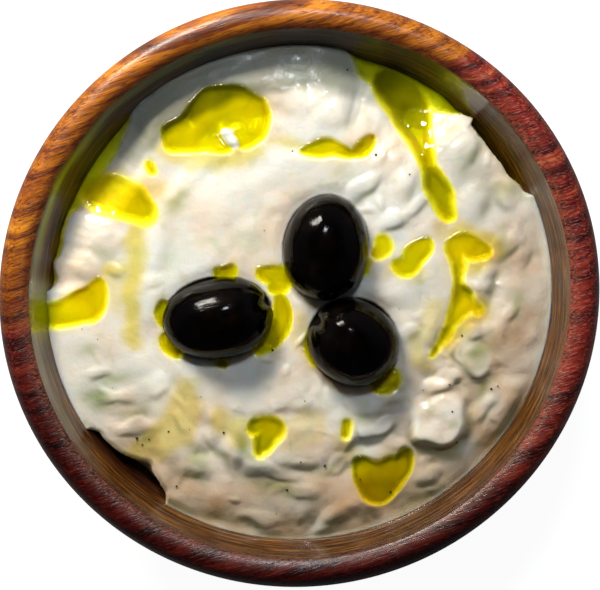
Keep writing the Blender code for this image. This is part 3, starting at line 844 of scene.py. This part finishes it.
def strainedYoghurt():
    # Strained yoghurt with grated cucumber: dense and milky, so light softens inside it, with a wet
    # sheen on every lump, pale green where a shred lies close, and yellow where oil has thinned out.
    # Painted shade darkens its hollows, the near sides of lumps, its near edge and its far side.
    material, add = startMaterial("strained yoghurt")
    place = add("TexCoord")["Object"]
    cream, speckle, grain = [
        add("TexNoise", {"Vector": place, "Scale": 1 / (size * mm), "Detail": detail})["Fac"]
        for size, detail in ((14, 3.0), (3.6, 1.0), (0.9, 3.0))
    ]
    greenTint, paleShred, thinDip, whey, oilFilm = [
        add("Attribute", attribute_name=name)["Fac"]
        for name in ("greenTint", "paleShred", "thinDip", "whey", "oilFilm")
    ]
    milk = add("ValToRGB", {"Fac": cream}, stops=((0.35, "#eceee6"), (0.5, "#f4efe2"),
        (0.66, "#f3e3ce")))[0]
    green = add("Math", {0: greenTint, 1: 0.7}, operation="MULTIPLY")[0]
    flecks = add("MapRange", {"Value": speckle, "From Min": 0.6, "From Max": 0.75, "To Max": 0.3})[0]
    milk = tinted(add, milk, (
        (green, "MIX", "#76803a"),  # painted olive shade in hollows and on near sides of lumps, partly the cucumber's green
        (paleShred, "MULTIPLY", "#bccb98"),
        (flecks, "MIX", "#c3cda6"),  # shredded skin seen through the yoghurt
        (thinDip, "MULTIPLY", "#dcba8c"),  # painted tan shade towards the near edge
        # painted grey shade along the far side under the rim, and in patches
        (whey, "MULTIPLY", "#9a9e93"),
        (oilFilm, "MULTIPLY", "#f2e33c"),
    ))
    bump, wetBump = [
        add("Bump", {"Strength": strength, "Distance": 0.18 * mm, "Height": grain})[0]
        for strength in (0.5, 0.35)
    ]
    roughness = add("MapRange", {"Value": oilFilm, "To Min": 0.36, "To Max": 0.14})[0]
    gloss = add("MapRange", {"Value": whey, "From Max": 0.9, "To Min": 0.7, "To Max": 0.22})[0]
    shader = add("BsdfPrincipled", {
        "Base Color": milk,
        "Roughness": roughness,
        "IOR": 1.4,
        "Subsurface Weight": 0.8,
        "Subsurface Radius": (1.0, 0.8, 0.55),
        "Subsurface Scale": 2.1 * mm,
        "Coat Weight": gloss,
        "Coat Roughness": 0.07,
        "Coat IOR": 1.4,
        "Normal": bump,
        "Coat Normal": wetBump,
    })
    add("OutputMaterial", {"Surface": shader[0]})
    return material


def greenAndShadeInHollows(x, y, z):
    # Painted olive-green shade in hollows and on the near sides of lumps, which face away from the lamps,
    # with some of the cucumber's own green.
    smoother = z.copy()
    for _ in range(16):
        padded = np.pad(smoother, 1, mode="edge")
        smoother = (padded[:-2, 1:-1] + padded[2:, 1:-1] + padded[1:-1, :-2] + padded[1:-1, 2:]) / 4
    hollow = smooth(0.03, 0.25, smoother - z)
    step = 0.5
    slope = (dipSurface(x, y + step)[0] - dipSurface(x, y - step)[0]) / (2 * step)
    nearSide = smooth(0.12, 0.5, slope)
    patchy = 0.8 + 0.7 * softNoise(x, y, 6, 51)
    return np.clip((0.9 * nearSide + 0.6 * hollow) * patchy * lumpiness(x, y), 0, 1)


def dipShadeFields(x, y):
    # Painted grey shade along the far side, 8 mm wide, where the rim shades the dip, and in patches.
    radius, degrees = ovalPolar(x, y)
    farSide = smooth(55, 85, degrees) * smooth(155, 130, degrees)
    whey = farSide * smooth(46.6, 49.6, radius + 1.2 * softNoise(x, y, 5, 61))
    for patchX, patchY, halfLength, halfWidth, share in paintedShadePatches:
        away = ((x - patchX) / halfLength) ** 2 + ((y - patchY) / halfWidth) ** 2
        whey = np.maximum(whey, share * np.exp(-away * away) * (0.8 + 0.4 * softNoise(x, y, 4, 64)))
    # Painted tan shade towards the near side, but not on the blocks.
    nearSide = smooth(-14, 46, 0.45 * x - 0.9 * y + 5 * softNoise(x, y, 8, 62))
    nearShade = nearSide * (0.5 + 0.35 * softNoise(x, y, 5, 63)) * (0.3 + 0.7 * smooth(30, 54, radius))
    for _, reach, _ in blockReach(x, y):
        nearShade = nearShade * (1 - 0.9 * smooth(1.15, 0.8, reach))
    return whey, np.clip(nearShade, 0, 1)


def makeDip():
    # A square grid drawn out to a disc for the top, then rings down the inside of the bowl.
    count = dipShape["grid"]
    side = np.linspace(-1, 1, count + 1)
    u, v = np.meshgrid(side, side, indexing="ij")
    wide = np.abs(u) > np.abs(v)
    reach = np.where(wide, u, v)
    safe = np.where(np.abs(reach) < tiny, 1, reach)
    angle = np.where(wide, math.pi / 4 * v / safe, math.pi / 2 - math.pi / 4 * u / safe)
    unitX, unitY = reach * np.cos(angle), reach * np.sin(angle)
    share = np.hypot(unitX, unitY)
    degrees = (np.degrees(np.arctan2(unitY, unitX)) + 360) % 360
    _, foot, _ = dipEdge(degrees)
    x, y = ovalPlace(share * foot, degrees)
    z, green = dipSurface(x, y)
    green = np.maximum(green, greenAndShadeInHollows(x, y, z))
    points = np.stack((x, y, z), -1).reshape(-1, 3)
    index = np.arange((count + 1) ** 2).reshape(count + 1, count + 1)
    faces = np.stack((index[:-1, :-1], index[1:, :-1], index[1:, 1:], index[:-1, 1:]), -1).reshape(-1, 4)
    border = np.concatenate((index[:-1, 0], index[-1, :-1], index[:0:-1, -1], index[0, :0:-1]))
    edgeDegrees, edgeFoot = degrees.reshape(-1)[border], foot.reshape(-1)[border]
    rings, ringCount = [border], len(border)
    allPoints, faceList = [points], faces.tolist()
    for ring in range(1, dipShape["underRings"]):
        down = ring / dipShape["underRings"]
        ringRadius = edgeFoot * math.cos(math.pi / 2 * down)
        ringZ = insideHeight(ringRadius + 0.3) + 0.2 + down
        ringX, ringY = ovalPlace(ringRadius, edgeDegrees)
        start = len(points) + (ring - 1) * ringCount
        allPoints.append(np.stack((ringX, ringY, ringZ), -1))
        rings.append(np.arange(start, start + ringCount))
    for ring, lower in zip(rings, rings[1:]):
        after, lowerAfter = np.roll(ring, -1), np.roll(lower, -1)
        faceList += np.stack((after, ring, lower, lowerAfter), -1).tolist()
    pole = len(points) + (dipShape["underRings"] - 1) * ringCount
    allPoints.append(np.array([[0, 0, float(insideHeight(np.array(0.0))) + 1.2]]))
    faceList += [(int(b), int(a), pole) for a, b in zip(rings[-1], np.roll(rings[-1], -1))]
    points = np.concatenate(allPoints)
    mesh = meshFrom("yoghurt_dip", points, faceList, strainedYoghurt())
    addMesh("yoghurt_dip", mesh, ["dip"])
    fields = {"greenTint": green, "oilFilm": filmField(x, y), "paleShred": shredField(x, y)}
    fields["whey"], fields["thinDip"] = dipShadeFields(x, y)
    for name, values in fields.items():
        addField(mesh, name, np.concatenate((values.reshape(-1), np.zeros(len(points) - z.size))))
    return mesh


# The oil: deep pools against the wall, and runs and drops on the dip.
oilLook = {
    "cell": 0.26,
    "sink": 0.4,  # how far a body of oil reaches into the dip and the wall
    "poolClimb": 0.35,  # how far the edge of a pool creeps up
    "poolInner": (47.0, 49.5),  # radii between which a pool fades out towards the dip
    "edge": 0.22,  # how thick a run is close to its edge
    "density": 2600.0,  # per metre, in the colour that it takes most
    "colour": (0.915, 0.92, 0.0, 1.0),
}


def oliveOil():
    # Extra virgin olive oil: clear, yellow where it is thin and dark green where it is deep. Lamps
    # shine through it on to the dip, so that what lies under it is lit.
    material, add = startMaterial("extra virgin olive oil")
    clear = add("BsdfPrincipled", {
        "Base Color": (1, 1, 1, 1),
        "Roughness": 0.02,
        "IOR": 1.467,
        "Transmission Weight": 1.0,
    })[0]
    through = add("BsdfTransparent")[0]
    lamp = add("LightPath")["Is Shadow Ray"]
    mixed = add("MixShader", {0: lamp, 1: clear, 2: through})[0]
    depth = add("VolumeAbsorption", {"Color": oilLook["colour"], "Density": oilLook["density"]})[0]
    add("OutputMaterial", {"Surface": mixed, "Volume": depth})
    return material


def groundUnder(x, y):
    # The height of what oil would lie on: the dip, and beyond its foot the wall.
    radius, degrees = ovalPolar(x, y)
    _, foot, _ = dipEdge(degrees)
    return np.where(radius < foot, dipSurface(x, y)[0], insideHeight(radius)), radius


def runTop(x, y, ground, runs):
    # The oil's surface over some runs. It fills what sank, rounds off at its edge and leaves the
    # bare lump clear.
    filled, rounded = np.zeros_like(x), np.full_like(x, -9.0)
    for run in runs:
        inside, sunk, _ = insideAndSunk(x, y, run)
        filled = filled + sunk
        fade = run["fade"] * smooth(38.5, 34, y)  # some thin out towards the near side
        edge = np.where(inside > 0, oilLook["edge"] * (1 - np.exp(-inside / 0.5)), inside * 1.2)
        rounded = np.maximum(rounded, run["above"] * smooth(0, 1.0, inside) + edge - fade)
    return ground + filled + rounded - 2.2 * bareLump(x, y)


def oilBody(name, low, high, topOf, climb, material, replaced=()):
    # A closed body of oil between its own surface and the ground, wherever it stands above the ground.
    cell = oilLook["cell"]
    xs = np.arange(low[0], high[0] + cell, cell)
    ys = np.arange(low[1], high[1] + cell, cell)
    x, y = np.meshgrid(xs, ys, indexing="ij")
    ground, radius = groundUnder(x, y)
    top = topOf(x, y, ground, radius)
    top = top + climb * np.exp(-np.clip(top - ground, 0, 9) / 0.5) * (top > ground - 0.5)
    shown = top > ground - 0.35
    cells = shown[:-1, :-1] | shown[1:, :-1] | shown[1:, 1:] | shown[:-1, 1:]
    top = np.maximum(top, ground - 0.8)
    bottom = np.minimum(top, ground) - oilLook["sink"]
    used = np.zeros_like(shown)
    for di in (0, 1):
        for dj in (0, 1):
            used[di : di + cells.shape[0], dj : dj + cells.shape[1]] |= cells
    number = np.full(shown.shape, -1)
    number[used] = np.arange(used.sum())
    count = int(used.sum())
    points = np.concatenate((np.stack((x[used], y[used], top[used]), -1),
        np.stack((x[used], y[used], bottom[used]), -1)))
    i, j = np.nonzero(cells)
    a, b, c, d = number[i, j], number[i + 1, j], number[i + 1, j + 1], number[i, j + 1]
    faces = [np.stack((a, b, c, d), -1), np.stack((d, c, b, a), -1) + count]
    padded = np.pad(cells, 1)
    sides = ((padded[i + 1, j] == 0, a, b), (padded[i + 2, j + 1] == 0, b, c),
        (padded[i + 1, j + 2] == 0, c, d), (padded[i, j + 1] == 0, d, a))
    for atEdge, start, end in sides:
        faces.append(np.stack((end, start, start + count, end + count), -1)[atEdge])
    mesh = meshFrom(name, points, np.concatenate(faces).tolist(), material)
    addMesh(name, mesh, replaced)


def poolTop(name, runName=None):
    # A level pool at the wall, joined to the run that feeds it.
    low, high = (np.array(corner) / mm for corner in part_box(name))

    def top(x, y, ground, radius):
        beyond = (low[0] - 4 - x, x - high[0] - 4, low[1] - 4 - y, y - high[1] - 4, 0 * x)
        surface = high[2] - 2 * np.maximum.reduce(beyond) - 6 * (1 - smooth(*oilLook["poolInner"], radius))
        if runName:
            surface = softMax(surface, runTop(x, y, ground, [oilRuns[runName]]), 0.5)
        return surface

    return top


def makeOil():
    material = oliveOil()
    pools = {"oil_left": ("pool_left", "shelf"), "oil_right": ("pool_right", "channel"),
        "oil_front": ("pool_front", None)}
    for node, (name, runName) in pools.items():
        low, high = (np.array(corner[:2]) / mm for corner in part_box(node))
        start, end = low - 6, high + 6
        if runName:
            least, most = aroundDrops(oilRuns[runName]["drops"])
            start, end = np.minimum(start, least), np.maximum(end, most)
        oilBody(name, start, end, poolTop(node, runName), oilLook["poolClimb"], material, [node])
    # All the runs and drops that lie on the dip are one piece.
    fed = [runName for _, runName in pools.values()]
    loose = [run for runName, run in oilRuns.items() if runName not in fed]
    start, end = aroundDrops([drop for run in loose for drop in run["drops"]])

    def top(x, y, ground, radius):
        return runTop(x, y, ground, loose)

    oilBody("oil_puddles", start, end, top, 0, material)


def aroundDrops(drops):
    # The corners of a rectangle that holds some drops of oil with 2 mm to spare.
    drops = np.array(drops)
    return (drops[:, :2] - drops[:, 2:]).min(axis=0) - 2, (drops[:, :2] + drops[:, 2:]).max(axis=0) + 2


# The olives.
oliveLook = {
    "segments": 128,
    "rings": 96,
    "stemDent": 1.2,
    "dentWidth": 0.14,
    "dentHeight": 0.55,
    "wrinkle": 0.08,
}


def oliveSkin():
    # Ripe black olive, brined and oiled: a taut, nearly black skin with a brown cast, faint wrinkles
    # running from the stem, and a hard gloss.
    material, add = startMaterial("ripe black olive skin")
    place = add("Attribute", attribute_name="skinPlace")["Vector"]
    tone = stretchedPattern(add, place, (5, 5, 5), 4.0)
    colour = add("ValToRGB", {"Fac": tone}, stops=((0.35, "#020101"), (0.55, "#050302"),
        (0.75, "#100806")))[0]
    # Wrinkles 0.8 mm apart that run lengthways, and pits 0.6 mm across.
    wrinkles = stretchedPattern(add, place, (0.8, 0.8, 9), 2.0)
    pits = stretchedPattern(add, place, (0.6, 0.6, 0.6), 2.0)
    relief = add("Math", {0: pits, 1: 0.25, 2: wrinkles}, operation="MULTIPLY_ADD")[0]
    bump = add("Bump", {"Strength": 0.5, "Distance": 0.1 * mm, "Height": relief})[0]
    roughness = add("MapRange", {"Value": tone, "From Min": 0.3, "From Max": 0.7, "To Min": 0.07,
        "To Max": 0.15})[0]
    shader = add("BsdfPrincipled", {
        "Base Color": colour,
        "Roughness": roughness,
        "IOR": 1.4,
        "Specular IOR Level": 0.18,
        "Normal": bump,
    })
    add("OutputMaterial", {"Surface": shader[0]})
    return material


def makeOlives():
    skin = oliveSkin()
    for seed, (name, (centre, stem, halfLength, halfWidth, taper, dentAt)) in enumerate(olives.items()):
        dentAt = Vector(dentAt).normalized()
        dentSide = dentAt.cross(Vector((0, 0, 1))).normalized()
        dentUp = dentSide.cross(dentAt)
        bm = bmesh.new()
        bmesh.ops.create_uvsphere(bm, u_segments=oliveLook["segments"], v_segments=oliveLook["rings"],
            radius=1)
        turn = Vector(stem).to_track_quat("Z", "Y").to_matrix()
        skinPlaces = []
        for vert in bm.verts:
            x, y, along = vert.co
            fromStem = math.acos(max(-1, min(1, along)))
            aroundStem = math.atan2(y, x)
            outwards = turn @ vert.co
            aside, above = outwards.dot(dentSide), outwards.dot(dentUp)
            ahead = outwards.dot(dentAt)
            fromDent = outwards.angle(dentAt)
            dent = oliveLook["stemDent"] * hump(aside, oliveLook["dentWidth"])
            dent = dent * hump(above, oliveLook["dentHeight"]) * (ahead > 0)
            nearStem = hump(fromDent - 0.42, 0.26)
            aroundDent = math.atan2(above, aside)
            folds = math.sin(9 * aroundDent + seed) + 0.6 * math.sin(14 * aroundDent + 2 * seed)
            uneven = 0.22 * math.sin(2 * aroundStem + seed) * math.sin(2.2 * fromStem + seed)
            wavy = 4 * math.sin(2 * fromStem + seed)
            uneven += 0.03 * math.sin(13 * aroundStem + wavy) * math.sin(fromStem)
            blunt = 0.25 * math.sin(2 * fromStem) ** 2
            grow = uneven + blunt + oliveLook["wrinkle"] * folds * nearStem
            width = halfWidth * (1 + taper * along) + grow - 0.25
            spot = Vector((x * width, y * width, along * (halfLength + 0.5 * grow - 0.15)))
            spot = spot * (1 - dent / spot.length)
            skinPlaces.append(spot + Vector((40.0 * seed, 0, 0)))
            vert.co = (turn @ spot + Vector(centre)) * mm
        mesh = bpy.data.meshes.new(name)
        bm.to_mesh(mesh)
        bm.free()
        mesh.materials.append(skin)
        addMesh("black_" + name, mesh, [name])
        addField(mesh, "skinPlace", skinPlaces, "FLOAT_VECTOR")


# Cracked pepper, scattered on top.
pepperLook = {"perSquareMetre": 6500.0, "seed": 4, "least": 0.15, "most": 0.62, "sink": 0.1}


def crackedPepper():
    # Cracked black pepper: dull, nearly black shell with brown broken faces.
    material, add = startMaterial("cracked black pepper")
    place = add("TexCoord")["Object"]
    tone = stretchedPattern(add, place, (0.4 * mm, 0.4 * mm, 0.4 * mm), 2.0)
    colour = add("ValToRGB", {"Fac": tone}, stops=((0.4, "#140d0a"), (0.6, "#33241b"),
        (0.75, "#6b5038")))[0]
    shader = add("BsdfPrincipled", {"Base Color": colour, "Roughness": 0.6})
    add("OutputMaterial", {"Surface": shader[0]})
    return material


def pepperTree(material):
    # Scatters broken grains over the dip.
    tree, add, given = startGeometryTree("scattered pepper", "Dip", "Pepper", {
        "Per Square Metre": "Float",
        "Least Size": "Float",
        "Most Size": "Float",
        "Sink": "Float",
        "Seed": "Int",
    })
    room = add("GeometryNodeInputNamedAttribute", {"Name": "pepperRoom"}, data_type="FLOAT")["Attribute"]
    density = add("Math", {0: room, 1: given["Per Square Metre"]}, operation="MULTIPLY")[0]
    spots = add("GeometryNodeDistributePointsOnFaces",
        {"Mesh": given["Dip"], "Density": density, "Seed": given["Seed"]})
    sinkBy = add("VectorMath", {0: spots["Normal"], "Scale": given["Sink"]}, operation="SCALE")[0]
    settled = add("GeometryNodeSetPosition", {"Geometry": spots["Points"], "Offset": sinkBy})[0]
    grain = add("GeometryNodeMeshIcoSphere", {"Radius": 0.5, "Subdivisions": 2})["Mesh"]
    size = add("FunctionNodeRandomValue", {2: given["Least Size"], 3: given["Most Size"],
        "Seed": given["Seed"]}, data_type="FLOAT")[1]
    turn = add("FunctionNodeRandomValue", {0: (0, 0, 0), 1: (6.28, 6.28, 6.28), "Seed": given["Seed"]},
        data_type="FLOAT_VECTOR")[0]
    copies = add("GeometryNodeInstanceOnPoints", {"Points": settled, "Instance": grain, "Rotation": turn,
        "Scale": size})[0]
    whole = add("GeometryNodeRealizeInstances", {"Geometry": copies})[0]
    crumble = add("TexNoise", {"Scale": 1 / (0.35 * mm), "Detail": 1.0}, noise_dimensions="3D")["Color"]
    # Broken faces: each point moves up to 0.22 mm either way.
    rough = 0.45 * mm
    moves = {0: crumble, 1: (rough, rough, rough), 2: (-rough / 2, -rough / 2, -rough / 2)}
    broken = add("VectorMath", moves, operation="MULTIPLY_ADD")[0]
    whole = add("GeometryNodeSetPosition", {"Geometry": whole, "Offset": broken})[0]
    finished = add("GeometryNodeSetMaterial", {"Geometry": whole, "Material": material})[0]
    add("NodeGroupOutput", {"Pepper": finished})
    return tree


def makePepper(dip):
    look = pepperLook
    ground = dip.copy()
    places = np.array([v.co for v in ground.vertices]) / mm
    radius, _ = ovalPolar(places[:, 0], places[:, 1])
    room = (places[:, 2] > 39) * smooth(56, 52, radius) * (0.5 + 0.5 * smooth(30, -30, places[:, 1]))
    for olive in olives.values():
        room = room * (oliveShare(places[:, 0], places[:, 1], olive) > 1.08)
    addField(ground, "pepperRoom", room)
    made = runNodes(ground, pepperTree(crackedPepper()), {
        "Per Square Metre": look["perSquareMetre"],
        "Least Size": look["least"] * mm,
        "Most Size": look["most"] * mm,
        "Sink": look["sink"] * mm,
        "Seed": look["seed"],
    })
    addMesh("cracked_pepper", made)


# The stage: a pale table, two soft lamps behind the bowl and a camera nearly overhead. Its lengths
# are in metres, but for the table's.
stageLook = {
    "target": (0.0, 0.0, 0.045),
    "distance": 0.6,
    "tiltDegrees": 4.5,
    "lean": (-0.31338, 0.94963),
    "lens": 154.4,
    "sensor": 36.0,
    "lamps": (
        # elevation, degrees left of the far side, distance, width, height, watts, colour
        (30.0, 28.0, 0.50, 0.20, 0.09, 3.45, "#fff7ea"),
        (57.0, -5.0, 0.60, 0.07, 0.07, 1.1, "#eaf1ff"),
    ),
    "roomTint": "#e2eaf5",
    "roomAbove": 0.02,  # how bright the room is straight overhead, and low down round about
    "roomAround": 0.24,
    "roomNear": 0.25,  # the near side's share of that
    "tableGlow": 0.95,
    "tableHalf": 1500.0,  # mm
}


def placeCamera(look):
    camera = bpy.data.cameras.new("camera")
    camera.lens = look["lens"]
    camera.sensor_width = look["sensor"]
    camera.clip_start = 0.01
    holder = bpy.data.objects.new("camera", camera)
    bpy.context.scene.collection.objects.link(holder)
    tilt = math.radians(look["tiltDegrees"])
    aside, away = look["lean"]
    back = Vector((aside * math.sin(tilt), away * math.sin(tilt), math.cos(tilt))).normalized()
    up = (Vector((0, 1, 0)) - back * back.y).normalized()
    pose = Matrix((up.cross(back), up, back)).transposed().to_4x4()
    pose.translation = Vector(look["target"]) + back * look["distance"]
    holder.matrix_world = pose
    bpy.context.scene.camera = holder


def hangLamps(look):
    for number, (elevation, left, distance, width, height, watts, colour) in enumerate(look["lamps"]):
        lamp = bpy.data.lights.new(f"lamp {number + 1}", "AREA")
        lamp.shape = "RECTANGLE"
        lamp.size, lamp.size_y = width, height
        lamp.energy = watts
        lamp.color = linear(colour)[:3]
        stand = bpy.data.objects.new(lamp.name, lamp)
        bpy.context.scene.collection.objects.link(stand)
        high, side = math.radians(elevation), math.radians(left)
        towards = Vector((-math.sin(side) * math.cos(high), math.cos(side) * math.cos(high), math.sin(high)))
        stand.location = Vector(look["target"]) + towards * distance
        stand.rotation_euler = towards.to_track_quat("Z", "Y").to_euler()


def softRoom(look):
    # A room that is dark overhead and on the near side.
    world = bpy.data.worlds.new("soft room")
    world.use_nodes = True
    tree = world.node_tree
    sky = tree.nodes["Background"]
    sky.inputs["Color"].default_value = linear(look["roomTint"])
    add = partial(addNode, tree)
    outwards = add("TexCoord")["Generated"]
    towards = add("SeparateXYZ", {0: outwards})
    bright, dim = [
        add(
            "MapRange",
            {"Value": value, "From Min": low, "From Max": high, "To Min": first, "To Max": last},
            interpolation_type="SMOOTHSTEP",
        )[0]
        for value, low, high, first, last in (
            (towards[2], 0.35, 0.9, look["roomAround"], look["roomAbove"]),
            (towards[1], -0.6, 0.5, look["roomNear"], 1.0),
        )
    ]
    strength = add("Math", {0: bright, 1: dim}, operation="MULTIPLY")[0]
    tree.links.new(strength, sky.inputs["Strength"])
    return world


def paleTable(look):
    # A pale matt table that shows nearly white and throws only a little light up.
    material, add = startMaterial("pale matt table")
    place = add("TexCoord")["Object"]
    speck = add("TexNoise", {"Vector": place, "Scale": 400.0})["Fac"]
    tone = add("MapRange", {"Value": speck, "To Min": 0.28, "To Max": 0.32})[0]
    matt = add("BsdfDiffuse", {"Color": tone})[0]
    seen = add("LightPath")["Is Camera Ray"]
    glow, dark = [
        add("Emission", {"Color": (1, 1, 1, 1), "Strength": strength})[0]
        for strength in (look["tableGlow"], 0.0)
    ]
    lift = add("MixShader", {0: seen, 1: dark, 2: glow})[0]
    both = add("AddShader", {0: matt, 1: lift})[0]
    add("OutputMaterial", {"Surface": both})
    half = look["tableHalf"]
    corners = [(-half, -half, 0), (half, -half, 0), (half, half, 0), (-half, half, 0)]
    table = meshFrom("table", corners, [(0, 1, 2, 3)], material)
    floor = bpy.data.objects.new("table", table)
    bpy.context.scene.collection.objects.link(floor)


def makeStage():
    bpy.context.scene.view_settings.view_transform = "Standard"
    placeCamera(stageLook)
    hangLamps(stageLook)
    bpy.context.scene.world = softRoom(stageLook)
    paleTable(stageLook)
    print("table, lamps and camera placed")


makeBowl()
dip = makeDip()
makeOil()
makeOlives()
makePepper(dip)
makeStage()
